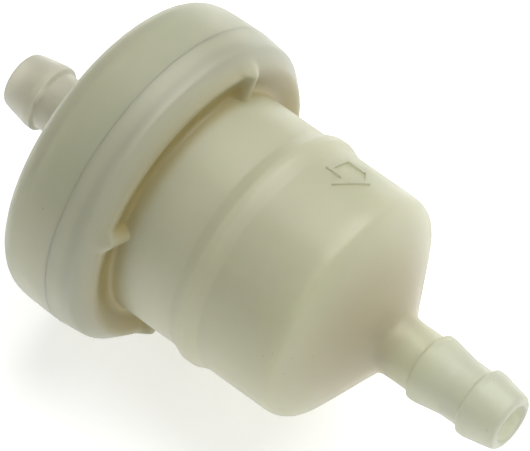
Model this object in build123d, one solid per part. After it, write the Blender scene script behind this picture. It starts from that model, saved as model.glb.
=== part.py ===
"""In-line fuel filter for a small engine: two moulded shells welded round a pleated paper element.

Millimetres. The flow axis is X: fuel enters at the -X hose nipple and leaves at the +X one.
The origin is the middle of the filter's length on the flow axis. +Z is up.
"""

import os
from math import cos, hypot, pi, sin

from build123d import *

# ---- Driving dimensions -------------------------------------------------------------------
# Hose nipples, the same at both ends
BORE_R = 2.1  # fuel passage
NECK_R = 3.3  # stem between the barbs, for a 6.35 mm (1/4 in) hose
BARB_R = 3.83  # crest of each barb
BARB_LAND = 0.8  # level top of each crest, before its rounding
BARB_TAPER = 3.0  # from a crest down to the stem, towards the end face
BARB_STEP = 0.3  # from a crest down to the stem, away from the end face
BARB_ROUND = 0.2
TIP_R = 3.15  # end face of the nipple
TIP_LENGTH = 4.3  # end face to the back of the last crest
TIP_ROUND = 0.6
BARB_PITCH = 6.38

# Housing: barrel, shoulder cone and outlet nipple
BARREL_R = 13.27
BARREL_LENGTH = 20.5  # flange crest to the start of the cone
BARREL_WALL = 1.4
SHOULDER_ROUND = 2.0
CONE_LENGTH = 5.85
CONE_WALL = 1.6
OUTLET_NECK_ROUND = 1.7
OUTLET_NIPPLE_LENGTH = 15.15
BEAD_OFFSET = 9.3  # flange crest to the middle of the bead round the barrel
BEAD_HEIGHT = 0.6
BEAD_HALF_WIDTH = 1.85

# Flange and cap: the wide drum at the inlet end
RIM_R = 18.3  # at the weld line, the widest place
RIM_CHAMFER = 2.1  # weld line's radius to the front of the sloping shoulder
SHOULDER_DRAFT = 0.33  # weld line's radius to the back of the shoulder
SHOULDER_DEPTH = 2.0  # from the crest back to the back of the shoulder
WELD_DEPTH = 5.0  # from the crest back to the weld plane
GROOVE_DEPTH = 0.6  # shallow ring-shaped cove between the crest and the barrel
GROOVE_FLOOR_WIDTH = 0.9
GROOVE_ROUND = 1.5
CREST_ROUND = 0.8
FLANGE_WALL = 3.2  # end wall under the cove, the gasket seat behind it
CAP_DRAFT = 0.19  # weld line's radius to the cap's end
CAP_DEPTH = 7.35  # weld plane back to the cap's flat end
CAP_ROUND = 2.8
CAP_WALL = 1.9
CAP_END_WALL = 2.2
INLET_NIPPLE_LENGTH = 12.45
INLET_NECK_ROUND = 1.2

# Gusset ribs that brace the flange against the barrel
RIB_COUNT = 4
RIB_FIRST_ANGLE = 59.0  # degrees about +X, from +Y towards +Z
RIB_THICKNESS = 2.2
RIB_RISE = 0.7  # above the rim's crest, where the rib meets the barrel
RIB_SETBACK = 1.2  # weld line's radius to the rib's outer corner

# Weld joint between the shells
TONGUE_THICKNESS = 0.8
TONGUE_LENGTH = 1.2
TONGUE_CLEARANCE = 0.05  # on each side wall
TONGUE_END_GAP = 0.15

# Flow arrow, a raised outline on the barrel
ARROW_ANGLE = 58.0
ARROW_START = 12.4  # flange crest to the arrow's tail
ARROW_LENGTH = 4.4
ARROW_HEAD_LENGTH = 2.3
ARROW_HEAD_WIDTH = 7.4
ARROW_TAIL_WIDTH = 3.9
ARROW_LINE = 0.6
ARROW_RELIEF = 0.25

# Filter element and what clamps it
GASKET_THICKNESS = 1.0
GASKET_SEAT = 1.1  # ledge left clear between the barrel's bore and the gasket
FRAME_PLATE_THICKNESS = 1.2
FRAME_FIT = 0.1  # radial gap between the frame's rim and the drum's bore
CLAMP_RIB_THICKNESS = 1.4
MOUTH_R = 4.4  # opening in the frame that feeds the inside of the pleats
STRUT_COUNT = 4
STRUT_WIDTH = 1.2
STRUT_DEPTH = 1.0
TROUGH_WALL = 0.8  # lips of the glue troughs
TROUGH_DEPTH = 1.6
TROUGH_FIT = 0.25  # gap between a trough lip and the paper's tips
GLUE_THICKNESS = 0.8
PLEAT_COUNT = 18
PLEAT_INNER_R = 6.3
PAPER_THICKNESS = 0.45
ELEMENT_SIDE_GAP = 0.6  # fuel's way between the element and the barrel
ELEMENT_END_GAP = 2.4  # element's closed end to where the cavity starts to narrow
END_CAP_THICKNESS = 1.2
END_CAP_ROUND = 0.5

# ---- Radii worked out from the driving ones -------------------------------------------------
RIM_CREST_R = RIM_R - RIM_CHAMFER
SHOULDER_R = RIM_R - SHOULDER_DRAFT
RIB_OUTER_R = RIM_R - RIB_SETBACK
GROOVE_FLOOR_R = BARREL_R + GROOVE_FLOOR_WIDTH
CAP_BACK_R = RIM_R - CAP_DRAFT
DRUM_BORE_R = CAP_BACK_R - CAP_WALL
BARREL_BORE_R = BARREL_R - BARREL_WALL
FRAME_R = DRUM_BORE_R - FRAME_FIT
GASKET_INNER_R = BARREL_BORE_R + GASKET_SEAT
TONGUE_MID_R = (RIM_R + DRUM_BORE_R) / 2
ELEMENT_R = BARREL_BORE_R - ELEMENT_SIDE_GAP
TROUGH_OUTER_R = ELEMENT_R - TROUGH_WALL
PLEAT_OUTER_R = TROUGH_OUTER_R - TROUGH_FIT
TROUGH_INNER_R = PLEAT_INNER_R - TROUGH_FIT
STRUT_INNER_R = TROUGH_INNER_R - STRUT_DEPTH

# ---- Cone wall: the cavity keeps the outside's slope, set back square to it ------------------
CONE_DROP = BARREL_R - NECK_R
CONE_SETBACK = CONE_WALL * hypot(CONE_LENGTH, CONE_DROP) / CONE_DROP
CONE_SLOPE = CONE_LENGTH / CONE_DROP

# ---- Stations along X ---------------------------------------------------------------------
OVERALL = INLET_NIPPLE_LENGTH + CAP_DEPTH + WELD_DEPTH + BARREL_LENGTH + CONE_LENGTH + OUTLET_NIPPLE_LENGTH
X_INLET_TIP = -OVERALL / 2
X_CAP_END = X_INLET_TIP + INLET_NIPPLE_LENGTH
X_WELD = X_CAP_END + CAP_DEPTH
X_CREST = X_WELD + WELD_DEPTH
X_CONE = X_CREST + BARREL_LENGTH
X_NECK = X_CONE + CONE_LENGTH
X_OUTLET_TIP = X_NECK + OUTLET_NIPPLE_LENGTH
X_FLANGE_INNER = X_CREST - GROOVE_DEPTH - FLANGE_WALL
X_FRAME_FRONT = X_FLANGE_INNER - GASKET_THICKNESS
X_FRAME_BACK = X_FRAME_FRONT - FRAME_PLATE_THICKNESS
X_CAVITY_CONE = X_CONE - CONE_SETBACK + BARREL_WALL * CONE_SLOPE
X_END_CAP = X_CAVITY_CONE - ELEMENT_END_GAP - END_CAP_THICKNESS
X_PAPER_START = X_FRAME_FRONT + GLUE_THICKNESS
X_PAPER_END = X_END_CAP - GLUE_THICKNESS


def turned(profile):
    """Solid of revolution about X from a closed line in the XY half plane."""
    return revolve(make_face(profile), axis=Axis.X, revolution_arc=360)


def ring(x_start, x_end, r_outer, r_inner=0.0):
    """Straight disc or ring about X between two stations."""
    start = Plane(origin=(x_start, 0, 0), x_dir=(0, 1, 0), z_dir=(1, 0, 0))
    section = start * Circle(r_outer)
    if r_inner > 0:
        section -= start * Circle(r_inner)
    return extrude(section, amount=x_end - x_start)


def about_x(shape, angle):
    """The shape turned about the flow axis; 0 keeps it, 90 takes +Y to +Z."""
    return Rot(angle, 0, 0) * shape


def nipple_outline(length):
    """Points of a barbed stem's outside, as (distance from its end face, radius), tip first."""
    inner_crest = TIP_LENGTH + BARB_PITCH
    return [
        (0, TIP_R),
        (TIP_LENGTH - BARB_LAND, BARB_R),
        (TIP_LENGTH, BARB_R),
        (TIP_LENGTH + BARB_STEP, NECK_R),
        (inner_crest - BARB_LAND - BARB_TAPER, NECK_R),
        (inner_crest - BARB_LAND, BARB_R),
        (inner_crest, BARB_R),
        (inner_crest + BARB_STEP, NECK_R),
        (length, NECK_R),
    ]


def nipple(x_tip, direction, length, root):
    """Barbed stem, solid, from its end face at x_tip to its root, with root more inside the wall."""
    points = nipple_outline(length)
    points.append((length + root, NECK_R))
    outline = [(x_tip + direction * s, r) for s, r in points]
    profile = Polyline(*outline, (outline[-1][0], 0), (x_tip, 0), close=True)
    stem = turned(profile)
    for crest in (TIP_LENGTH, TIP_LENGTH + BARB_PITCH):
        stem = fillet(circles(stem, BARB_R, x_tip + direction * crest), BARB_ROUND)
    return fillet(circles(stem, TIP_R, x_tip), TIP_ROUND)


def circles(shape, radius, x):
    """Circular edges of a radius about X at a station."""
    found = shape.edges().filter_by(GeomType.CIRCLE)
    return [e for e in found if abs(e.radius - radius) < 1e-3 and abs(e.arc_center.X - x) < 1e-3]


def tongue_ring(gap, end_gap):
    """The cap's weld tongue, or with gaps the groove in the flange that it enters."""
    half = TONGUE_THICKNESS / 2 + gap
    return ring(X_WELD, X_WELD + TONGUE_LENGTH + end_gap, TONGUE_MID_R + half, TONGUE_MID_R - half)


def rib():
    """One gusset rib between the rim and the barrel, standing at angle 0."""
    inside = BARREL_R - BARREL_WALL / 2
    x_floor = X_CREST - GROOVE_DEPTH - FLANGE_WALL / 2
    side = Polyline(
        (x_floor, inside),
        (X_CREST + RIB_RISE, inside),
        (X_CREST + RIB_RISE, RIB_OUTER_R - RIB_RISE),
        (X_CREST + RIB_RISE / 2, RIB_OUTER_R),
        (X_CREST - SHOULDER_DEPTH, SHOULDER_R),
        (x_floor, SHOULDER_R),
        close=True,
    )
    plate = extrude(make_face(side), amount=RIB_THICKNESS / 2, both=True)
    return fillet(plate.edges().filter_by(Axis.Z).sort_by(Axis.X)[-2:], RIB_RISE / 3)


def bead():
    """Low rounded bead round the barrel."""
    x_mid = X_CREST + BEAD_OFFSET
    base = BARREL_R - BARREL_WALL / 2
    crest = ThreePointArc(
        (x_mid - BEAD_HALF_WIDTH, BARREL_R), (x_mid, BARREL_R + BEAD_HEIGHT), (x_mid + BEAD_HALF_WIDTH, BARREL_R)
    )
    base_line = Polyline(crest @ 1, (x_mid + BEAD_HALF_WIDTH, base), (x_mid - BEAD_HALF_WIDTH, base), crest @ 0)
    return turned(crest + base_line)


def flow_arrow():
    """Raised outline of a plain arrow on the barrel, pointing along the flow."""
    x_tail = X_CREST + ARROW_START
    x_head = x_tail + ARROW_LENGTH - ARROW_HEAD_LENGTH
    half_head, half_tail = ARROW_HEAD_WIDTH / 2, ARROW_TAIL_WIDTH / 2
    outline = Polyline(
        (x_tail, -half_tail),
        (x_head, -half_tail),
        (x_head, -half_head),
        (x_tail + ARROW_LENGTH, 0),
        (x_head, half_head),
        (x_head, half_tail),
        (x_tail, half_tail),
        close=True,
    )
    face = make_face(outline)
    line = face - offset(face, amount=-ARROW_LINE, kind=Kind.INTERSECTION)
    bar = extrude(line, amount=BARREL_R + BEAD_HEIGHT)
    skin = ring(x_tail, x_tail + ARROW_LENGTH, BARREL_R + ARROW_RELIEF, BARREL_R - BARREL_WALL / 2)
    # The outline is drawn facing +Z, which is 90 degrees from +Y.
    return about_x(bar & skin, ARROW_ANGLE - 90)


def make_outlet_housing():
    """Flange, barrel, shoulder cone and outlet nipple, moulded in one."""
    outside = Polyline(
        (X_WELD, 0),
        (X_WELD, RIM_R),
        (X_CREST - SHOULDER_DEPTH, SHOULDER_R),
        (X_CREST, RIM_CREST_R),
        (X_CREST - GROOVE_DEPTH, GROOVE_FLOOR_R),
        (X_CREST - GROOVE_DEPTH, BARREL_R),
        (X_CONE, BARREL_R),
        (X_NECK, NECK_R),
        (X_NECK, 0),
        close=True,
    )
    shell = turned(outside)
    shell = fillet(circles(shell, SHOULDER_R, X_CREST - SHOULDER_DEPTH), SHOULDER_DEPTH / 2)
    shell = fillet(circles(shell, RIM_CREST_R, X_CREST), CREST_ROUND)
    shell = fillet(circles(shell, GROOVE_FLOOR_R, X_CREST - GROOVE_DEPTH), GROOVE_ROUND)
    shell = fillet(circles(shell, BARREL_R, X_CREST - GROOVE_DEPTH), GROOVE_FLOOR_WIDTH / 2)
    shell = fillet(circles(shell, BARREL_R, X_CONE), SHOULDER_ROUND)
    shell += nipple(X_OUTLET_TIP, -1, OUTLET_NIPPLE_LENGTH, CONE_WALL / 2)
    shell = fillet(circles(shell, NECK_R, X_NECK), OUTLET_NECK_ROUND)
    shell += bead()
    for i in range(RIB_COUNT):
        shell += about_x(rib(), RIB_FIRST_ANGLE + i * 360 / RIB_COUNT)
    shell += flow_arrow()

    cavity = Polyline(
        (X_WELD, 0),
        (X_WELD, DRUM_BORE_R),
        (X_FLANGE_INNER, DRUM_BORE_R),
        (X_FLANGE_INNER, BARREL_BORE_R),
        (X_CAVITY_CONE, BARREL_BORE_R),
        (X_NECK - CONE_SETBACK, NECK_R),
        (X_NECK - CONE_SETBACK, 0),
        close=True,
    )
    shell -= turned(cavity)
    shell -= ring(X_CAVITY_CONE, X_OUTLET_TIP, BORE_R)
    return shell - tongue_ring(TONGUE_CLEARANCE, TONGUE_END_GAP)


def make_inlet_cap():
    """Closed drum with the inlet nipple, its weld tongue and the rib that clamps the element."""
    outside = Polyline(
        (X_CAP_END, 0),
        (X_CAP_END, CAP_BACK_R),
        (X_WELD, RIM_R),
        (X_WELD, 0),
        close=True,
    )
    cap = turned(outside)
    cap = fillet(circles(cap, CAP_BACK_R, X_CAP_END), CAP_ROUND)
    cap += nipple(X_INLET_TIP, 1, INLET_NIPPLE_LENGTH, CAP_END_WALL / 2)
    cap = fillet(circles(cap, NECK_R, X_CAP_END), INLET_NECK_ROUND)
    x_inside = X_CAP_END + CAP_END_WALL
    chamber = ring(x_inside, X_WELD, DRUM_BORE_R)
    cap -= fillet(circles(chamber, DRUM_BORE_R, x_inside), CAP_WALL / 2)
    cap -= ring(X_INLET_TIP, x_inside, BORE_R)
    cap += ring(x_inside, X_FRAME_BACK, GASKET_INNER_R + CLAMP_RIB_THICKNESS, GASKET_INNER_R)
    return cap + tongue_ring(0, 0)


def make_frame_gasket():
    """Flat rubber ring between the element's frame and the flange."""
    return ring(X_FRAME_FRONT, X_FLANGE_INNER, FRAME_R, GASKET_INNER_R)


def make_element_frame():
    """Clamped plate with the open end's glue trough, and the struts that carry the closed end."""
    lip_end = X_FRAME_FRONT + TROUGH_DEPTH
    frame = ring(X_FRAME_BACK, X_FRAME_FRONT, FRAME_R, MOUTH_R)
    frame += ring(X_FRAME_FRONT, lip_end, ELEMENT_R, TROUGH_OUTER_R)
    frame += ring(X_FRAME_FRONT, lip_end, TROUGH_INNER_R, STRUT_INNER_R)
    bars = ring(X_FRAME_FRONT, X_END_CAP, TROUGH_INNER_R, STRUT_INNER_R)
    slab = Box(X_END_CAP - X_FRAME_FRONT, TROUGH_INNER_R * 2, STRUT_WIDTH)
    slab = Pos((X_END_CAP + X_FRAME_FRONT) / 2, 0, 0) * slab
    for i in range(STRUT_COUNT // 2):
        frame += bars & about_x(slab, i * 360 / STRUT_COUNT)
    hoop_mid = (X_PAPER_START + X_PAPER_END) / 2
    return frame + ring(hoop_mid - STRUT_WIDTH / 2, hoop_mid + STRUT_WIDTH / 2, TROUGH_INNER_R, STRUT_INNER_R)


def star(r_tip, r_root):
    """Closed zigzag of the pleats in the YZ plane, as a face."""
    points = []
    for i in range(2 * PLEAT_COUNT):
        r = r_root if i % 2 else r_tip
        angle = pi * i / PLEAT_COUNT
        points.append((r * cos(angle), r * sin(angle)))
    return make_face(Polyline(*points, close=True))


def make_filter_paper():
    """Pleated paper, one closed band of even thickness."""
    half_pitch = pi / PLEAT_COUNT
    flank = hypot(PLEAT_OUTER_R - PLEAT_INNER_R * cos(half_pitch), PLEAT_INNER_R * sin(half_pitch))
    tip_inset = PAPER_THICKNESS * flank / (PLEAT_INNER_R * sin(half_pitch))
    root_inset = PAPER_THICKNESS * flank / (PLEAT_OUTER_R * sin(half_pitch))
    band = star(PLEAT_OUTER_R, PLEAT_INNER_R + root_inset) - star(PLEAT_OUTER_R - tip_inset, PLEAT_INNER_R)
    start = Plane(origin=(X_PAPER_START, 0, 0), x_dir=(0, 1, 0), z_dir=(1, 0, 0))
    return extrude(start * band, amount=X_PAPER_END - X_PAPER_START)


def make_element_end_cap():
    """Blank disc that closes the far end of the pleats and plugs onto the struts."""
    cap = ring(X_END_CAP, X_END_CAP + END_CAP_THICKNESS, ELEMENT_R)
    cap = fillet(circles(cap, ELEMENT_R, X_END_CAP + END_CAP_THICKNESS), END_CAP_ROUND)
    cap += ring(X_END_CAP - TROUGH_DEPTH, X_END_CAP, ELEMENT_R, TROUGH_OUTER_R)
    return cap + ring(X_END_CAP - TROUGH_DEPTH, X_END_CAP, STRUT_INNER_R - FRAME_FIT / 2)


pieces = {
    "outlet_housing": make_outlet_housing(),
    "inlet_cap": make_inlet_cap(),
    "frame_gasket": make_frame_gasket(),
    "element_frame": make_element_frame(),
    "filter_paper": make_filter_paper(),
    "open_end_glue": ring(X_FRAME_FRONT, X_PAPER_START, TROUGH_OUTER_R, TROUGH_INNER_R),
    "closed_end_glue": ring(X_PAPER_END, X_END_CAP, TROUGH_OUTER_R, TROUGH_INNER_R),
    "element_end_cap": make_element_end_cap(),
}

os.makedirs("parts", exist_ok=True)
for name, piece in pieces.items():
    export_step(piece, f"parts/{name}.step")
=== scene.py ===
"""Looks of an in-line fuel filter: two milky moulded shells round a pleated paper element.

The shells are modelled in millimetres, as on a lathe, and brought to metres when they are finished.
X is the flow axis, as in the frame. Angles about X run from +Y towards +Z.
"""

import logging
import math
from collections.abc import Callable
from dataclasses import dataclass, field
from enum import Enum

import bpy
from mathutils import Matrix, Vector


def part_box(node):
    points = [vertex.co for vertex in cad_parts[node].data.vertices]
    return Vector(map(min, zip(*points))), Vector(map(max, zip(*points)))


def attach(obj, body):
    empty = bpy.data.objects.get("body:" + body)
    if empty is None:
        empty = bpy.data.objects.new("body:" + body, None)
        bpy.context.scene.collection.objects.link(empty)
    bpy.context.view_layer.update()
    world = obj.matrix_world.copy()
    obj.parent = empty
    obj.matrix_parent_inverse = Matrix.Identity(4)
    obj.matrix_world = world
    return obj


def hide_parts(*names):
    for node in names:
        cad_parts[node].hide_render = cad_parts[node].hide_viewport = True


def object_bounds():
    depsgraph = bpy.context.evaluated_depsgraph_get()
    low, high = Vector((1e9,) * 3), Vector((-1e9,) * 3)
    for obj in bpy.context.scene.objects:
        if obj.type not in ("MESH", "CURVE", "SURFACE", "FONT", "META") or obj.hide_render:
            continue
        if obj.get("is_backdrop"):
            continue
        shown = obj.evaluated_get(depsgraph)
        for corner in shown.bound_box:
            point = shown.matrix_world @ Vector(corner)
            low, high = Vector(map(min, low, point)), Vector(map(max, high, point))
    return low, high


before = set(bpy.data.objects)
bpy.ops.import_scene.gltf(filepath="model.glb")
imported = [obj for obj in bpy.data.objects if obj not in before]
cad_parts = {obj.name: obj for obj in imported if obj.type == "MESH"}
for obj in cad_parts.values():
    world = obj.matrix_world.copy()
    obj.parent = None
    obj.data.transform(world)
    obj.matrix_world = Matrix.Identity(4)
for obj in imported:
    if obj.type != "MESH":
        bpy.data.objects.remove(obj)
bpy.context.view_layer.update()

MM = 0.001
BODY = "root"
SAME = 1e-4  # millimetres within which two points are one
NEAR = 0.01  # millimetres allowed round a zone whose vertices are picked
RIB_MERGE = 1e-3  # millimetres within which vertices of a raised rib are joined
SMOOTH_ANGLE = math.radians(40)  # edges sharper than this stay sharp
log = logging.getLogger("fuel_filter")

Color = tuple[float, float, float, float]
PlaceTest = Callable[[Vector, Vector], bool]


# ---- Modelling steps shared by every piece ---------------------------------------------------


class Select(Enum):
    """What an edit-mode selection picks."""

    VERTICES = "VERT"
    EDGES = "EDGE"
    FACES = "FACE"


def deselect_all() -> None:
    """Leave object mode with nothing selected."""
    if bpy.context.mode != "OBJECT":
        bpy.ops.object.mode_set(mode="OBJECT")
    bpy.ops.object.select_all(action="DESELECT")


def activate(piece: bpy.types.Object) -> None:
    """Select one object alone and make it active."""
    deselect_all()
    piece.select_set(True)
    bpy.context.view_layer.objects.active = piece


def pick(piece: bpy.types.Object, kind: Select, test: PlaceTest) -> None:
    """Select mesh elements by their place, leaving the piece in edit mode.

    Args:
        piece: the object being edited.
        kind: whether vertices, edges or faces are picked.
        test: takes an element's middle and its normal or direction, and says whether it is picked.
    """
    activate(piece)
    bpy.ops.object.mode_set(mode="EDIT")
    bpy.ops.mesh.select_mode(type=kind.value)
    bpy.ops.mesh.select_all(action="DESELECT")
    bpy.ops.object.mode_set(mode="OBJECT")
    mesh = piece.data
    if kind is Select.VERTICES:
        for vertex in mesh.vertices:
            vertex.select = test(vertex.co, vertex.normal)
    elif kind is Select.EDGES:
        for edge in mesh.edges:
            start, end = (mesh.vertices[i].co for i in edge.vertices)
            edge.select = test((start + end) / 2, end - start)
    else:
        for polygon in mesh.polygons:
            polygon.select = test(polygon.center, polygon.normal)
    bpy.ops.object.mode_set(mode="EDIT")


def radius_of(place: Vector) -> float:
    """Distance of a point from the flow axis."""
    return math.hypot(place.y, place.z)


def angle_of(place: Vector) -> float:
    """Angle of a point about the flow axis, in degrees from 0 to 360."""
    return math.degrees(math.atan2(place.z, place.y)) % 360


def add_modifier(piece: bpy.types.Object, kind: str, **settings) -> None:
    """Add a modifier, set it and apply it.

    Args:
        piece: the object that gets the modifier.
        kind: Blender's name for the modifier's type.
        settings: the modifier's properties.
    """
    activate(piece)
    modifier = piece.modifiers.new(kind.lower(), kind)
    for key, value in settings.items():
        setattr(modifier, key, value)
    bpy.ops.object.modifier_apply(modifier=modifier.name)


def to_metres(piece: bpy.types.Object) -> None:
    """Bring a finished piece from millimetres to metres, with its place in its mesh."""
    activate(piece)
    piece.scale = (MM, MM, MM)
    bpy.ops.object.transform_apply(location=True, rotation=True, scale=True)


@dataclass(frozen=True)
class Corner:
    """One corner of a turned outline: station and radius in millimetres, and its rounding."""

    x: float
    r: float
    rounding: float = 0.0
    cuts: int = 0  # extra points on the stretch that leads to the next corner


@dataclass
class Lathe:
    """Turns a closed outline about the flow axis into a shell with a wall."""

    outline: list[Corner]
    steps: int = 180  # round the axis
    arc_points: int = 3  # segments in each rounding
    most_of_stretch: float = 0.49  # share of a stretch that the rounding at one end may take

    def tangent_length(self, i: int) -> float:
        """Distance from a corner to where its rounding starts, for a rounding of that radius."""
        before, here, after = (self.outline[(i + k) % len(self.outline)] for k in (-1, 0, 1))
        to_before = Vector((before.x - here.x, before.r - here.r))
        to_after = Vector((after.x - here.x, after.r - here.r))
        half = to_before.angle(to_after) / 2
        room = self.most_of_stretch * min(to_before.length, to_after.length)
        return min(here.rounding / math.tan(half), room)

    def draw(self, name: str) -> bpy.types.Object:
        """Draw the outline as a closed chain of edges above the flow axis.

        Args:
            name: the new object's name.

        Returns:
            The object, in edit mode.
        """
        deselect_all()
        bpy.ops.mesh.primitive_plane_add(size=1, location=(0, 0, 0))
        piece = bpy.context.active_object
        piece.name = name
        piece.data.name = name
        bpy.ops.object.mode_set(mode="EDIT")
        bpy.ops.mesh.select_mode(type=Select.VERTICES.value)
        bpy.ops.mesh.select_all(action="SELECT")
        bpy.ops.mesh.merge(type="CENTER")
        first = self.outline[0]
        bpy.ops.transform.translate(value=(first.x, first.r, 0))
        for here, after in zip(self.outline, self.outline[1:]):
            step = (after.x - here.x, after.r - here.r, 0)
            bpy.ops.mesh.extrude_region_move(TRANSFORM_OT_translate={"value": step})
        last = self.outline[-1]
        ends = [(first.x, first.r), (last.x, last.r)]
        pick(piece, Select.VERTICES, lambda co, _: any(math.dist((co.x, co.y), e) < SAME for e in ends))
        bpy.ops.mesh.edge_face_add()
        return piece

    def round_corners(self, piece: bpy.types.Object) -> None:
        """Bevel each corner that has a rounding, and divide the stretches that need more points."""
        for i, corner in enumerate(self.outline):
            if corner.cuts:
                after = self.outline[(i + 1) % len(self.outline)]
                middle = Vector(((corner.x + after.x) / 2, (corner.r + after.r) / 2, 0))
                pick(piece, Select.EDGES, lambda co, _: (co - middle).length < SAME)
                bpy.ops.mesh.subdivide(number_cuts=corner.cuts)
        for i, corner in enumerate(self.outline):
            if corner.rounding:
                place = Vector((corner.x, corner.r, 0))
                pick(piece, Select.VERTICES, lambda co, _: (co - place).length < SAME)
                reach = self.tangent_length(i)
                bpy.ops.mesh.bevel(
                    offset=reach,
                    offset_type="OFFSET",
                    segments=self.arc_points,
                    affect="VERTICES",
                    clamp_overlap=False,
                )

    def turn(self, name: str) -> bpy.types.Object:
        """Make the turned shell.

        Args:
            name: the piece's name.

        Returns:
            The shell in millimetres, in object mode, with its faces outwards.
        """
        piece = self.draw(name)
        self.round_corners(piece)
        activate(piece)
        bpy.ops.object.mode_set(mode="EDIT")
        bpy.ops.mesh.select_all(action="SELECT")
        bpy.ops.mesh.spin(
            steps=self.steps, angle=math.tau, center=(0, 0, 0), axis=(1, 0, 0), use_auto_merge=True
        )
        bpy.ops.mesh.select_all(action="SELECT")
        bpy.ops.mesh.remove_doubles(threshold=SAME)
        bpy.ops.mesh.normals_make_consistent(inside=False)
        bpy.ops.object.mode_set(mode="OBJECT")
        return piece


# ---- Finishes ---------------------------------------------------------------------------------


def linear(red: int, green: int, blue: int) -> Color:
    """Linear colour of a display colour given from 0 to 255."""
    return tuple(((c / 255 + 0.055) / 1.055) ** 2.4 for c in (red, green, blue)) + (1.0,)


def new_group(name: str, inputs: dict[str, float], outputs: dict[str, str]) -> bpy.types.NodeTree:
    """Make an empty shader node group with named sockets.

    Args:
        name: the group's name.
        inputs: each input's name and its default value.
        outputs: each output's name and its socket type.

    Returns:
        The group, holding only its input and output nodes.
    """
    group = bpy.data.node_groups.new(name, "ShaderNodeTree")
    for label, value in inputs.items():
        socket = group.interface.new_socket(name=label, in_out="INPUT", socket_type="NodeSocketFloat")
        socket.default_value = value
    for label, kind in outputs.items():
        group.interface.new_socket(name=label, in_out="OUTPUT", socket_type=kind)
    group.nodes.new("NodeGroupInput").name = "in"
    group.nodes.new("NodeGroupOutput").name = "out"
    return group


def add_node(tree: bpy.types.NodeTree, kind: str, **settings) -> bpy.types.Node:
    """Add a node and set its properties."""
    node = tree.nodes.new(kind)
    for key, value in settings.items():
        setattr(node, key, value)
    return node


def cloud_group() -> bpy.types.NodeTree:
    """Slow cloudy drift through a plastic or paper, as a mask from 0 to 1."""
    group = new_group("cloud_drift", {"Scale": 60.0, "Contrast": 1.0}, {"Mask": "NodeSocketFloat"})
    place = add_node(group, "ShaderNodeTexCoord")
    noise = add_node(group, "ShaderNodeTexNoise")
    noise.inputs["Detail"].default_value = 3.0
    noise.inputs["Roughness"].default_value = 0.55
    centred = add_node(group, "ShaderNodeMath", operation="SUBTRACT")
    centred.inputs[1].default_value = 0.5
    spread = add_node(group, "ShaderNodeMath", operation="MULTIPLY")
    raised = add_node(group, "ShaderNodeMath", operation="ADD", use_clamp=True)
    raised.inputs[1].default_value = 0.5
    link = group.links.new
    link(place.outputs["Object"], noise.inputs["Vector"])
    link(group.nodes["in"].outputs["Scale"], noise.inputs["Scale"])
    link(noise.outputs["Fac"], centred.inputs[0])
    link(centred.outputs[0], spread.inputs[0])
    link(group.nodes["in"].outputs["Contrast"], spread.inputs[1])
    link(spread.outputs[0], raised.inputs[0])
    link(raised.outputs[0], group.nodes["out"].inputs["Mask"])
    return group


def speck_group() -> bpy.types.NodeTree:
    """Sparse small specks, scuffs and dust, as a mask from 0 to 1."""
    group = new_group("fine_specks", {"Scale": 900.0, "Amount": 0.1}, {"Mask": "NodeSocketFloat"})
    place = add_node(group, "ShaderNodeTexCoord")
    cells = add_node(group, "ShaderNodeTexVoronoi", feature="F1")
    patches = add_node(group, "ShaderNodeTexNoise")
    patches.inputs["Scale"].default_value = 110.0
    patches.inputs["Detail"].default_value = 2.0
    dots = add_node(group, "ShaderNodeMapRange", interpolation_type="SMOOTHSTEP")
    dots.inputs["From Min"].default_value = 0.0
    dots.inputs["To Min"].default_value = 1.0
    dots.inputs["To Max"].default_value = 0.0
    where = add_node(group, "ShaderNodeMapRange", interpolation_type="SMOOTHSTEP")
    where.inputs["From Min"].default_value = 0.56
    where.inputs["From Max"].default_value = 0.66
    both = add_node(group, "ShaderNodeMath", operation="MULTIPLY", use_clamp=True)
    link = group.links.new
    link(place.outputs["Object"], cells.inputs["Vector"])
    link(place.outputs["Object"], patches.inputs["Vector"])
    link(group.nodes["in"].outputs["Scale"], cells.inputs["Scale"])
    link(group.nodes["in"].outputs["Amount"], dots.inputs["From Max"])
    link(cells.outputs["Distance"], dots.inputs["Value"])
    link(patches.outputs["Fac"], where.inputs["Value"])
    link(dots.outputs["Result"], both.inputs[0])
    link(where.outputs["Result"], both.inputs[1])
    link(both.outputs[0], group.nodes["out"].inputs["Mask"])
    return group


def grain_group() -> bpy.types.NodeTree:
    """Surface relief of a moulded or coated skin: long waves and a fine grain, as a height."""
    group = new_group(
        "skin_relief",
        {"Wave Scale": 150.0, "Grain Scale": 2500.0, "Grain Share": 0.2},
        {"Height": "NodeSocketFloat"},
    )
    place = add_node(group, "ShaderNodeTexCoord")
    waves = add_node(group, "ShaderNodeTexNoise")
    waves.inputs["Detail"].default_value = 2.0
    grain = add_node(group, "ShaderNodeTexNoise")
    grain.inputs["Detail"].default_value = 3.0
    blend = add_node(group, "ShaderNodeMix", data_type="FLOAT")
    link = group.links.new
    for texture, scale in ((waves, "Wave Scale"), (grain, "Grain Scale")):
        link(place.outputs["Object"], texture.inputs["Vector"])
        link(group.nodes["in"].outputs[scale], texture.inputs["Scale"])
    link(group.nodes["in"].outputs["Grain Share"], blend.inputs["Factor"])
    link(waves.outputs["Fac"], blend.inputs["A"])
    link(grain.outputs["Fac"], blend.inputs["B"])
    link(blend.outputs["Result"], group.nodes["out"].inputs["Height"])
    return group


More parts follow.
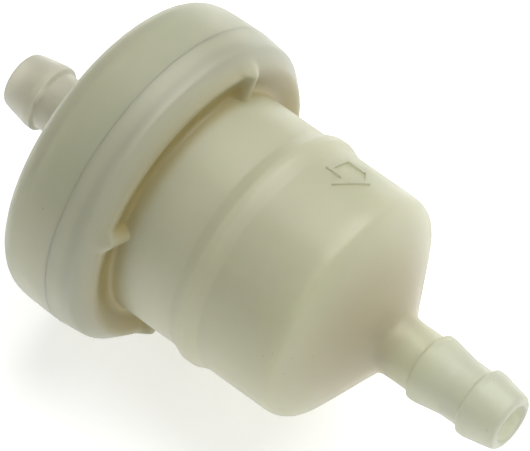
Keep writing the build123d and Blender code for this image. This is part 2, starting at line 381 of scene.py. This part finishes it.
def ring_group() -> bpy.types.NodeTree:
    """Soft ring zone round the flow axis, as a mask that fades out along X and along the radius."""
    group = new_group(
        "ring_zone",
        {"Station": 0.0, "Reach": 0.002, "Radius": 0.0, "Breadth": 1.0},
        {"Mask": "NodeSocketFloat"},
    )
    place = add_node(group, "ShaderNodeTexCoord")
    split = add_node(group, "ShaderNodeSeparateXYZ")
    across = add_node(group, "ShaderNodeCombineXYZ")
    radius = add_node(group, "ShaderNodeVectorMath", operation="LENGTH")
    both = add_node(group, "ShaderNodeMath", operation="MULTIPLY")
    link = group.links.new
    link(place.outputs["Object"], split.inputs["Vector"])
    link(split.outputs["Y"], across.inputs["Y"])
    link(split.outputs["Z"], across.inputs["Z"])
    link(across.outputs["Vector"], radius.inputs[0])
    spans = ((split.outputs["X"], "Station", "Reach"), (radius.outputs["Value"], "Radius", "Breadth"))
    for i, (value, middle, half) in enumerate(spans):
        offset = add_node(group, "ShaderNodeMath", operation="SUBTRACT")
        size = add_node(group, "ShaderNodeMath", operation="ABSOLUTE")
        fade = add_node(group, "ShaderNodeMapRange", interpolation_type="SMOOTHERSTEP")
        fade.inputs["To Min"].default_value = 1.0
        fade.inputs["To Max"].default_value = 0.0
        link(value, offset.inputs[0])
        link(group.nodes["in"].outputs[middle], offset.inputs[1])
        link(offset.outputs[0], size.inputs[0])
        link(size.outputs[0], fade.inputs["Value"])
        link(group.nodes["in"].outputs[half], fade.inputs["From Max"])
        link(fade.outputs["Result"], both.inputs[i])
    link(both.outputs[0], group.nodes["out"].inputs["Mask"])
    return group


GROUPS = {"cloud": cloud_group(), "speck": speck_group(), "grain": grain_group(), "ring": ring_group()}


@dataclass(frozen=True)
class Tint:
    """A colour laid over the base in a soft ring zone, placed in metres."""

    color: Color
    station: float
    reach: float
    radius: float = 0.0
    breadth: float = 1.0
    strength: float = 1.0


@dataclass(frozen=True)
class Finish:
    """One material: a base colour that drifts, specks, relief, and the shader's plain values."""

    name: str
    base: Color
    drift: Color
    speck: Color
    patch: Color | None = None
    patch_scale: float = 45.0
    drift_scale: float = 60.0
    drift_contrast: float = 2.0
    speck_scale: float = 900.0
    speck_amount: float = 0.15
    roughness: tuple[float, float] = (0.3, 0.42)
    wave_scale: float = 150.0
    grain_scale: float = 2500.0
    grain_share: float = 0.2
    relief: float = 0.0001  # metres
    relief_strength: float = 0.3
    ior: float = 1.5
    subsurface: float = 0.0
    subsurface_radius: tuple[float, float, float] = (1.0, 1.0, 1.0)
    subsurface_scale: float = 0.0014
    transmission: float = 0.0
    tints: tuple[Tint, ...] = field(default_factory=tuple)

    def group_node(self, tree: bpy.types.NodeTree, key: str, **values: float) -> bpy.types.Node:
        """Place one of the shared groups, with this finish's own values."""
        node = add_node(tree, "ShaderNodeGroup", node_tree=GROUPS[key])
        for label, value in values.items():
            node.inputs[label.replace("_", " ")].default_value = value
        return node

    def mix(
        self,
        tree: bpy.types.NodeTree,
        mask: bpy.types.NodeSocket,
        under: bpy.types.NodeSocket | Color,
        over: Color,
    ) -> bpy.types.NodeSocket:
        """Mix two colours by a mask.

        Args:
            tree: the material's nodes.
            mask: the socket that drives the mix.
            under: the socket or colour where the mask is 0.
            over: the colour where the mask is 1.

        Returns:
            The mixed colour's socket.
        """
        node = add_node(tree, "ShaderNodeMix", data_type="RGBA")
        tree.links.new(mask, node.inputs["Factor"])
        if isinstance(under, bpy.types.NodeSocket):
            tree.links.new(under, node.inputs[6])
        else:
            node.inputs[6].default_value = under
        node.inputs[7].default_value = over
        return node.outputs[2]

    def make(self) -> bpy.types.Material:
        """Build the material."""
        material = bpy.data.materials.new(self.name)
        material.use_nodes = True
        tree = material.node_tree
        shader = tree.nodes["Principled BSDF"]
        link = tree.links.new
        cloud = self.group_node(tree, "cloud", Scale=self.drift_scale, Contrast=self.drift_contrast)
        color = self.mix(tree, cloud.outputs["Mask"], self.base, self.drift)
        if self.patch:
            patches = self.group_node(tree, "cloud", Scale=self.patch_scale, Contrast=self.drift_contrast)
            color = self.mix(tree, patches.outputs["Mask"], color, self.patch)
        for tint in self.tints:
            ring = self.group_node(
                tree,
                "ring",
                Station=tint.station,
                Reach=tint.reach,
                Radius=tint.radius,
                Breadth=tint.breadth,
            )
            amount = add_node(tree, "ShaderNodeMath", operation="MULTIPLY")
            amount.inputs[1].default_value = tint.strength
            link(ring.outputs["Mask"], amount.inputs[0])
            color = self.mix(tree, amount.outputs[0], color, tint.color)
        specks = self.group_node(tree, "speck", Scale=self.speck_scale, Amount=self.speck_amount)
        color = self.mix(tree, specks.outputs["Mask"], color, self.speck)
        link(color, shader.inputs["Base Color"])
        rough = add_node(tree, "ShaderNodeMapRange")
        rough.inputs["To Min"].default_value = self.roughness[0]
        rough.inputs["To Max"].default_value = self.roughness[1]
        link(cloud.outputs["Mask"], rough.inputs["Value"])
        link(rough.outputs["Result"], shader.inputs["Roughness"])
        relief = self.group_node(
            tree,
            "grain",
            Wave_Scale=self.wave_scale,
            Grain_Scale=self.grain_scale,
            Grain_Share=self.grain_share,
        )
        bump = add_node(tree, "ShaderNodeBump")
        bump.inputs["Strength"].default_value = self.relief_strength
        bump.inputs["Distance"].default_value = self.relief
        link(relief.outputs["Height"], bump.inputs["Height"])
        link(bump.outputs["Normal"], shader.inputs["Normal"])
        shader.inputs["IOR"].default_value = self.ior
        shader.inputs["Subsurface Weight"].default_value = self.subsurface
        shader.inputs["Subsurface Radius"].default_value = self.subsurface_radius
        shader.inputs["Subsurface Scale"].default_value = self.subsurface_scale
        shader.inputs["Transmission Weight"].default_value = self.transmission
        return material

    def dress(self, *pieces: bpy.types.Object) -> None:
        """Give the finish to pieces, in every slot that they have."""
        material = self.make()
        for piece in pieces:
            if not piece.material_slots:
                piece.data.materials.append(material)
            for place in piece.material_slots:
                place.material = material


# ---- The shells -------------------------------------------------------------------------------


@dataclass
class HoseNipple:
    """Barbed stem for a quarter-inch fuel hose, as outline corners from its end face inwards."""

    bore_r: float = 2.1
    neck_r: float = 3.3
    barb_r: float = 3.83
    tip_r: float = 3.15
    tip_length: float = 4.3
    pitch: float = 6.38
    land: float = 0.8
    taper: float = 3.0
    step: float = 0.3
    tip_round: float = 0.6
    bore_round: float = 0.25
    crest_round: float = 0.45
    back_round: float = 0.2
    stem_round: float = 1.2

    def corners(self, x_tip: float, inwards: int) -> list[Corner]:
        """Outside corners from the bore's mouth to the innermost barb's foot.

        Args:
            x_tip: station of the end face.
            inwards: 1 where the stem runs towards +X from its end face, -1 where it runs towards -X.

        Returns:
            The corners, the bore's mouth first.
        """
        second = self.tip_length + self.pitch
        spots = [
            (0, self.bore_r, self.bore_round),
            (0, self.tip_r, self.tip_round),
            (self.tip_length - self.land, self.barb_r, self.crest_round),
            (self.tip_length, self.barb_r, self.back_round),
            (self.tip_length + self.step, self.neck_r, self.back_round),
            (second - self.land - self.taper, self.neck_r, self.stem_round),
            (second - self.land, self.barb_r, self.crest_round),
            (second, self.barb_r, self.back_round),
            (second + self.step, self.neck_r, self.back_round),
        ]
        return [Corner(x_tip + inwards * s, r, rounding) for s, r, rounding in spots]


@dataclass
class WeldJoint:
    """Tongue and groove between the shells, at the drum's widest ring."""

    thickness: float = 0.8
    length: float = 1.2
    clearance: float = 0.05
    end_gap: float = 0.15
    edge_round: float = 0.03

    def corners(self, x_weld: float, r_outer: float, r_inner: float, gap: bool) -> list[Corner]:
        """Corners of the tongue, or of the groove that takes it, outermost first."""
        half = self.thickness / 2 + (self.clearance if gap else 0)
        end = x_weld + self.length + (self.end_gap if gap else 0)
        middle = (r_outer + r_inner) / 2
        return [
            Corner(x_weld, r_outer, self.edge_round),
            Corner(x_weld, middle + half),
            Corner(end, middle + half),
            Corner(end, middle - half),
            Corner(x_weld, middle - half),
            Corner(x_weld, r_inner),
        ]


@dataclass
class FlowArrow:
    """Plain raised arrow outline on the barrel, pointing along the flow."""

    angle: float = 58.0
    start: float = 12.4  # from the flange's crest to the tail
    length: float = 4.4
    head_length: float = 2.3
    head_width: float = 7.4
    tail_width: float = 3.9
    line: float = 0.6
    relief: float = 0.25
    sink: float = 0.25  # how far its foot goes into the wall
    divisions: int = 7  # cuts in each side, so that it follows the barrel

    def make(self, x_crest: float, barrel_r: float) -> bpy.types.Object:
        """Model the arrow, wrapped on the barrel.

        Args:
            x_crest: station of the flange's crest.
            barrel_r: radius of the barrel that it stands on.

        Returns:
            The arrow in millimetres, a closed band with its foot inside the barrel's wall.
        """
        tail = x_crest + self.start
        tip = tail + self.length
        head = tip - self.head_length
        half_head, half_tail = self.head_width / 2, self.tail_width / 2
        outline = [
            (tail, -half_tail),
            (head, -half_tail),
            (head, -half_head),
            (tip, 0),
            (head, half_head),
            (head, half_tail),
            (tail, half_tail),
        ]
        deselect_all()
        bpy.ops.mesh.primitive_circle_add(vertices=len(outline), radius=1, fill_type="NGON")
        arrow = bpy.context.active_object
        for vertex, (x, across) in zip(arrow.data.vertices, outline):
            vertex.co = (x, across, 0)
        pick(arrow, Select.FACES, lambda co, normal: True)
        bpy.ops.mesh.inset(thickness=self.line, use_even_offset=True)
        bpy.ops.mesh.delete(type="FACE")
        bpy.ops.mesh.select_all(action="SELECT")
        bpy.ops.mesh.subdivide(number_cuts=self.divisions)
        bpy.ops.object.mode_set(mode="OBJECT")
        foot = barrel_r - self.sink
        for vertex in arrow.data.vertices:
            turn = math.radians(self.angle) - vertex.co.y / barrel_r
            vertex.co = (vertex.co.x, foot * math.cos(turn), foot * math.sin(turn))
        pick(arrow, Select.FACES, lambda co, normal: True)
        bpy.ops.mesh.normals_make_consistent(inside=False)
        bpy.ops.object.mode_set(mode="OBJECT")
        outwards = arrow.data.polygons[0]
        if outwards.normal.dot(Vector((0, outwards.center.y, outwards.center.z))) < 0:
            arrow.data.flip_normals()
        add_modifier(arrow, "SOLIDIFY", thickness=self.sink + self.relief, offset=1.0)
        add_modifier(arrow, "BEVEL", width=self.relief / 3, segments=2, limit_method="ANGLE")
        return arrow


@dataclass
class OutletHousing:
    """Front shell: flange, ribs, barrel with bead and arrow, shoulder cone and outlet nipple."""

    nipple: HoseNipple = field(default_factory=HoseNipple)
    weld: WeldJoint = field(default_factory=WeldJoint)
    arrow: FlowArrow = field(default_factory=FlowArrow)
    weld_depth: float = 5.0
    barrel_r: float = 13.27
    barrel_length: float = 20.5
    barrel_wall: float = 1.4
    shoulder_round: float = 2.0
    cone_length: float = 5.85
    cone_wall: float = 1.6
    neck_round: float = 1.7
    bead_offset: float = 9.3
    bead_height: float = 0.6
    bead_half_width: float = 1.85
    rim_chamfer: float = 2.1
    shoulder_draft: float = 0.33
    shoulder_depth: float = 2.0
    groove_depth: float = 0.6
    groove_floor_width: float = 0.9
    groove_round: float = 1.5
    crest_round: float = 0.8
    flange_wall: float = 3.2
    cap_draft: float = 0.19
    cap_wall: float = 1.9
    rib_first_angle: float = 59.0
    rib_count: int = 4
    rib_flat_angle: float = 2.0  # degrees each side of a rib's middle where its ridge is level
    rib_side_slope: float = 0.42  # millimetres of fall for each degree past that
    rib_rise: float = 0.7
    rib_setback: float = 1.2
    rib_clearance: float = 0.4  # from a rib's top to the outline's next point on the barrel
    bead_round: float = 0.9
    cavity_round: float = 1.0
    inner_round: float = 0.3
    seat_round: float = 0.2

    def __post_init__(self) -> None:
        """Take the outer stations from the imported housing."""
        low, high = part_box("outlet_housing")
        self.x_weld = low.x / MM
        self.x_tip = high.x / MM
        self.rim_r = high.y / MM
        self.x_crest = self.x_weld + self.weld_depth

    def bead(self) -> list[Corner]:
        """Corners of the low bead round the barrel, from the cone's side."""
        middle = self.x_crest + self.bead_offset
        top = self.barrel_r + self.bead_height
        return [
            Corner(middle + self.bead_half_width, self.barrel_r, self.bead_round),
            Corner(middle + self.bead_half_width / 4, top, self.bead_round),
            Corner(middle - self.bead_half_width / 4, top, self.bead_round),
            Corner(middle - self.bead_half_width, self.barrel_r, self.bead_round, 5),
        ]

    def outline(self) -> list[Corner]:
        """Closed outline of the shell's wall."""
        x_crest = self.x_crest
        x_cone = x_crest + self.barrel_length
        x_neck = x_cone + self.cone_length
        rim = self.rim_r
        floor_r = self.barrel_r + self.groove_floor_width
        floor = x_crest - self.groove_depth
        drum_bore = rim - self.cap_draft - self.cap_wall
        barrel_bore = self.barrel_r - self.barrel_wall
        drop = self.barrel_r - self.nipple.neck_r
        setback = self.cone_wall * math.hypot(self.cone_length, drop) / drop
        x_cavity_cone = x_cone - setback + self.barrel_wall * self.cone_length / drop
        flange_inner = floor - self.flange_wall
        outside = self.nipple.corners(self.x_tip, -1) + [
            Corner(x_neck, self.nipple.neck_r, self.neck_round),
            Corner(x_cone, self.barrel_r, self.shoulder_round, 3),
            *self.bead(),
            Corner(x_crest + self.rib_rise + self.rib_clearance, self.barrel_r),
            Corner(floor, self.barrel_r, self.groove_floor_width / 2),
            Corner(floor, floor_r, self.groove_round, 2),
            Corner(x_crest, rim - self.rim_chamfer, self.crest_round, 1),
            Corner(x_crest - self.shoulder_depth, rim - self.shoulder_draft, self.shoulder_depth / 2),
        ]
        inside = [
            Corner(flange_inner, drum_bore, self.seat_round),
            Corner(flange_inner, barrel_bore, self.inner_round, 2),
            Corner(x_cavity_cone, barrel_bore, self.cavity_round),
            Corner(x_neck - setback, self.nipple.neck_r, self.inner_round),
            Corner(x_neck - setback, self.nipple.bore_r, self.inner_round, 3),
        ]
        return outside + self.weld.corners(self.x_weld, rim, drum_bore, gap=True) + inside

    def ridge(self, r: float) -> float:
        """Station of a rib's ridge at a radius: level from the barrel, then down to the rim."""
        x_crest = self.x_crest
        corner_r = self.rim_r - self.rib_setback
        steps = [
            (corner_r - self.rib_rise, x_crest + self.rib_rise),
            (corner_r, x_crest + self.rib_rise / 2),
            (self.rim_r - self.shoulder_draft, x_crest - self.shoulder_depth),
        ]
        if r <= steps[0][0]:
            return steps[0][1]
        for (r_in, x_in), (r_out, x_out) in zip(steps, steps[1:]):
            if r <= r_out:
                return x_in + (x_out - x_in) * (r - r_in) / (r_out - r_in)
        return x_crest - self.shoulder_depth

    def raise_ribs(self, shell: bpy.types.Object) -> None:
        """Raise the gusset ribs out of the cove beside the barrel and out of the crest."""
        low = self.x_crest - self.groove_depth - NEAR
        high = self.x_crest + self.rib_rise
        for vertex in shell.data.vertices:
            r = radius_of(vertex.co)
            if not (low < vertex.co.x < high and r > self.barrel_r - NEAR):
                continue
            for i in range(self.rib_count):
                middle = self.rib_first_angle + i * 360 / self.rib_count
                away = abs((angle_of(vertex.co) - middle + 180) % 360 - 180)
                fall = self.rib_side_slope * max(away - self.rib_flat_angle, 0)
                vertex.co.x = max(vertex.co.x, self.ridge(r) - fall)
        pick(
            shell,
            Select.VERTICES,
            lambda co, _: low < co.x < high + NEAR and radius_of(co) > self.barrel_r - NEAR,
        )
        bpy.ops.mesh.remove_doubles(threshold=RIB_MERGE)
        bpy.ops.object.mode_set(mode="OBJECT")

    def make(self) -> bpy.types.Object:
        """Turn the shell, raise its ribs, smooth it and stand the arrow on it."""
        shell = Lathe(self.outline()).turn("housing_shell")
        self.raise_ribs(shell)
        add_modifier(shell, "SUBSURF", levels=1, render_levels=1)
        arrow = self.arrow.make(self.x_crest, self.barrel_r)
        add_modifier(shell, "BOOLEAN", operation="UNION", object=arrow, solver="EXACT")
        bpy.data.objects.remove(arrow)
        to_metres(shell)
        activate(shell)
        bpy.ops.object.shade_smooth_by_angle(angle=SMOOTH_ANGLE)
        return shell


@dataclass
class InletCap:
    """Back shell: the closed drum with its weld tongue, clamp rib and inlet nipple."""

    nipple: HoseNipple = field(default_factory=HoseNipple)
    weld: WeldJoint = field(default_factory=WeldJoint)
    nipple_length: float = 12.45
    end_wall: float = 2.2
    side_wall: float = 1.9
    end_round: float = 2.8
    neck_round: float = 1.2
    draft: float = 0.19
    clamp_r: float = 12.97
    clamp_thickness: float = 1.4
    clamp_setback: float = 1.0  # clamp ring's end to the weld plane
    corner_round: float = 0.6
    inner_round: float = 0.3
    clamp_round: float = 0.1

    def __post_init__(self) -> None:
        """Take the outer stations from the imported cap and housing."""
        low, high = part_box("inlet_cap")
        self.x_tip = low.x / MM
        self.rim_r = high.y / MM
        self.x_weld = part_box("outlet_housing")[0].x / MM
        self.x_end = self.x_tip + self.nipple_length

    def outline(self) -> list[Corner]:
        """Closed outline of the cap's wall."""
        back_r = self.rim_r - self.draft
        bore = back_r - self.side_wall
        x_inside = self.x_end + self.end_wall
        x_clamp = self.x_weld - self.clamp_setback
        outside = self.nipple.corners(self.x_tip, 1) + [
            Corner(self.x_end, self.nipple.neck_r, self.neck_round, 2),
            Corner(self.x_end, back_r, self.end_round, 2),
        ]
        inside = [
            Corner(x_inside, bore, self.corner_round),
            Corner(x_inside, self.clamp_r + self.clamp_thickness, self.inner_round),
            Corner(x_clamp, self.clamp_r + self.clamp_thickness, self.clamp_round),
            Corner(x_clamp, self.clamp_r, self.clamp_round),
            Corner(x_inside, self.clamp_r, self.inner_round),
            Corner(x_inside, self.nipple.bore_r, self.inner_round),
        ]
        return outside + self.weld.corners(self.x_weld, self.rim_r, bore, gap=False) + inside

    def make(self) -> bpy.types.Object:
        """Turn the cap and smooth it."""
        cap = Lathe(self.outline()).turn("cap_shell")
        add_modifier(cap, "SUBSURF", levels=1, render_levels=1)
        to_metres(cap)
        activate(cap)
        bpy.ops.object.shade_smooth_by_angle(angle=SMOOTH_ANGLE)
        return cap


# ---- Studio -----------------------------------------------------------------------------------

WHITE: Color = (1.0, 1.0, 1.0, 1.0)


@dataclass(frozen=True)
class Softbox:
    """A square area light: its distance and side in metres, and its power in watts."""

    name: str
    distance: float
    side: float
    power: float

    def place(self, towards: Vector) -> None:
        """Add the light, facing the filter.

        Args:
            towards: direction from the filter to the light.
        """
        deselect_all()
        bpy.ops.object.light_add(type="AREA", location=towards.normalized() * self.distance)
        light = bpy.context.active_object
        light.name = self.name
        light.data.shape = "SQUARE"
        light.data.size = self.side
        light.data.energy = self.power
        light.rotation_mode = "QUATERNION"
        light.rotation_quaternion = towards.to_track_quat("Z", "Y")


@dataclass
class Studio:
    """Pale floor, soft lights and the camera. Angles are in degrees and lengths in metres."""

    azimuth: float = 40.6
    elevation: float = 55.4
    distance: float = 0.50435
    lens: float = 331.1  # millimetres
    crest: Vector = field(default_factory=lambda: Vector((-0.00835, 0, 0)))
    aim_right: float = 0.00677
    aim_up: float = -0.00223
    clip: tuple[float, float] = (0.01, 20)
    floor_size: float = 6.0
    floor_color: Color = (0.93, 0.93, 0.93, 1)
    floor_roughness: float = 0.9
    floor_specular: float = 0.2
    floor_glow: float = 0.5
    surround: float = 0.34
    key: Softbox = Softbox("key", 0.7, 0.7, 4.55)
    key_towards: tuple[float, float, float] = (0.10, 0.42, 0.90)
    front: Softbox = Softbox("front", 0.9, 0.5, 0.25)
    front_shift: float = 0.2  # how far the front light's direction leans to the right

    def axes(self) -> tuple[Vector, Vector, Vector]:
        """The camera's right, up and backward directions."""
        a, e = math.radians(self.azimuth), math.radians(self.elevation)
        back = Vector((math.sin(a) * math.cos(e), -math.cos(a) * math.cos(e), math.sin(e)))
        right = Vector((math.cos(a), math.sin(a), 0))
        return right, back.cross(right), back

    def place_camera(self) -> None:
        """Add the camera and make it the scene's."""
        right, up, back = self.axes()
        deselect_all()
        aim = self.crest + right * self.aim_right + up * self.aim_up
        bpy.ops.object.camera_add(location=aim + back * self.distance)
        camera = bpy.context.active_object
        camera.rotation_mode = "QUATERNION"
        camera.rotation_quaternion = Matrix((right, up, back)).transposed().to_quaternion()
        camera.data.lens = self.lens
        camera.data.clip_start, camera.data.clip_end = self.clip
        bpy.context.scene.camera = camera

    def place_floor(self) -> None:
        """Add the floor just under the drum."""
        deselect_all()
        bpy.ops.mesh.primitive_plane_add(size=self.floor_size, location=(0, 0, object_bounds()[0].z))
        floor = bpy.context.active_object
        floor.name = "studio_floor"
        material = bpy.data.materials.new("pale_floor")
        material.use_nodes = True
        shader = material.node_tree.nodes["Principled BSDF"]
        shader.inputs["Base Color"].default_value = self.floor_color
        shader.inputs["Roughness"].default_value = self.floor_roughness
        shader.inputs["Specular IOR Level"].default_value = self.floor_specular
        shader.inputs["Emission Color"].default_value = WHITE
        shader.inputs["Emission Strength"].default_value = self.floor_glow
        floor.data.materials.append(material)
        floor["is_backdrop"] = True

    def light(self) -> None:
        """Set the even surround and the softboxes."""
        right, _, back = self.axes()
        scene = bpy.context.scene
        scene.view_settings.view_transform = "Standard"
        world = bpy.data.worlds.new("studio_surround")
        world.use_nodes = True
        background = world.node_tree.nodes["Background"]
        background.inputs["Color"].default_value = WHITE
        background.inputs["Strength"].default_value = self.surround
        scene.world = world
        self.key.place(Vector(self.key_towards))
        self.front.place(back + right * self.front_shift)

    def build(self) -> None:
        """Set up the whole studio."""
        self.place_camera()
        self.place_floor()
        self.light()


# ---- The filter -------------------------------------------------------------------------------

FLANGE_COLOR = linear(222, 222, 196)  # the whole drum, on both shells


def take_place(piece: bpy.types.Object, node: str) -> None:
    """Let a modelled piece stand for a CAD node, on the filter's one body."""
    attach(piece, BODY)
    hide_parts(node)
    log.info("%s: %d faces, stands for %s", piece.name, len(piece.data.polygons), node)


def dress_inside() -> None:
    """Give the sealed inner parts their own finishes."""
    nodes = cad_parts
    Finish(
        name="nitrile_rubber",
        base=linear(46, 46, 48),
        drift=linear(38, 38, 40),
        speck=linear(72, 72, 74),
        roughness=(0.55, 0.7),
    ).dress(nodes["frame_gasket"])
    Finish(
        name="frame_nylon",
        base=linear(236, 234, 222),
        drift=linear(228, 226, 212),
        speck=linear(200, 196, 180),
        subsurface=0.4,
    ).dress(nodes["element_frame"], nodes["element_end_cap"])
    Finish(
        name="filter_paper",
        base=linear(226, 208, 164),
        drift=linear(214, 194, 148),
        speck=linear(190, 168, 124),
        drift_scale=240.0,
        speck_scale=1600.0,
        speck_amount=0.3,
        roughness=(0.8, 0.95),
        grain_scale=3200.0,
        grain_share=0.8,
        relief_strength=0.6,
    ).dress(nodes["filter_paper"])
    Finish(
        name="pleat_glue",
        base=linear(214, 202, 170),
        drift=linear(206, 192, 158),
        speck=linear(190, 176, 140),
        roughness=(0.25, 0.4),
        subsurface=0.3,
    ).dress(nodes["open_end_glue"], nodes["closed_end_glue"])


def milky(
    name: str, base: Color, drift: Color, speck: Color, patch: Color, tints: tuple[Tint, ...]
) -> Finish:
    """Milky, faintly see-through plastic of the shells, in one shell's own colours."""
    return Finish(
        name=name,
        base=base,
        drift=drift,
        speck=speck,
        patch=patch,
        drift_scale=130.0,
        drift_contrast=3.0,
        relief_strength=0.45,
        subsurface=0.6,
        transmission=0.5,
        tints=tints,
    )


def dress_housing(shell: bpy.types.Object, housing: OutletHousing) -> None:
    """Finish the housing: the flange takes the cap's colour, the cove gets painted shade with a warmer
    amber, and the cone gets painted shade.
    """
    crest = housing.x_crest * MM
    cone = crest + housing.barrel_length * MM
    flange_tint = Tint(FLANGE_COLOR, station=housing.x_weld * MM, reach=0.0100, strength=2.0)
    # Darker, yellower ring in the cove beside the barrel: partly painted shade of the recess, partly the
    # amber of the thick plastic there.
    cove_shade_tint = Tint(
        linear(212, 194, 128), station=crest - 0.0008, reach=0.0026, radius=0.0144, breadth=0.0034
    )
    # Darker ring on the shoulder cone: painted shade, standing in for the lower light on the outlet side.
    cone_shade_tint = Tint(linear(212, 200, 170), station=cone + 0.0045, reach=0.0050, strength=0.7)
    outlet_tint = Tint(linear(232, 234, 214), station=housing.x_tip * MM, reach=0.0160, strength=2.0)
    milky(
        "milky_housing",
        base=linear(236, 235, 210),
        drift=linear(228, 231, 199),
        speck=linear(204, 200, 170),
        patch=linear(232, 231, 201),
        tints=(flange_tint, cove_shade_tint, cone_shade_tint, outlet_tint),
    ).dress(shell)


def dress_cap(shell: bpy.types.Object, cap: InletCap) -> None:
    """Finish the cap, with a paler nipple."""
    inlet_tint = Tint(linear(222, 220, 202), station=cap.x_tip * MM, reach=0.0130, strength=2.0)
    milky(
        "milky_cap",
        base=FLANGE_COLOR,
        drift=linear(214, 218, 188),
        speck=linear(176, 172, 148),
        patch=linear(219, 217, 189),
        tints=(inlet_tint,),
    ).dress(shell)


def main() -> None:
    """Build the filter's looks, then the studio."""
    logging.basicConfig(level=logging.INFO, format="%(name)s: %(message)s")
    housing = OutletHousing()
    cap = InletCap()
    housing_shell = housing.make()
    cap_shell = cap.make()
    dress_housing(housing_shell, housing)
    dress_cap(cap_shell, cap)
    dress_inside()
    take_place(housing_shell, "outlet_housing")
    take_place(cap_shell, "inlet_cap")
    Studio().build()


if __name__ == "__main__":
    main()
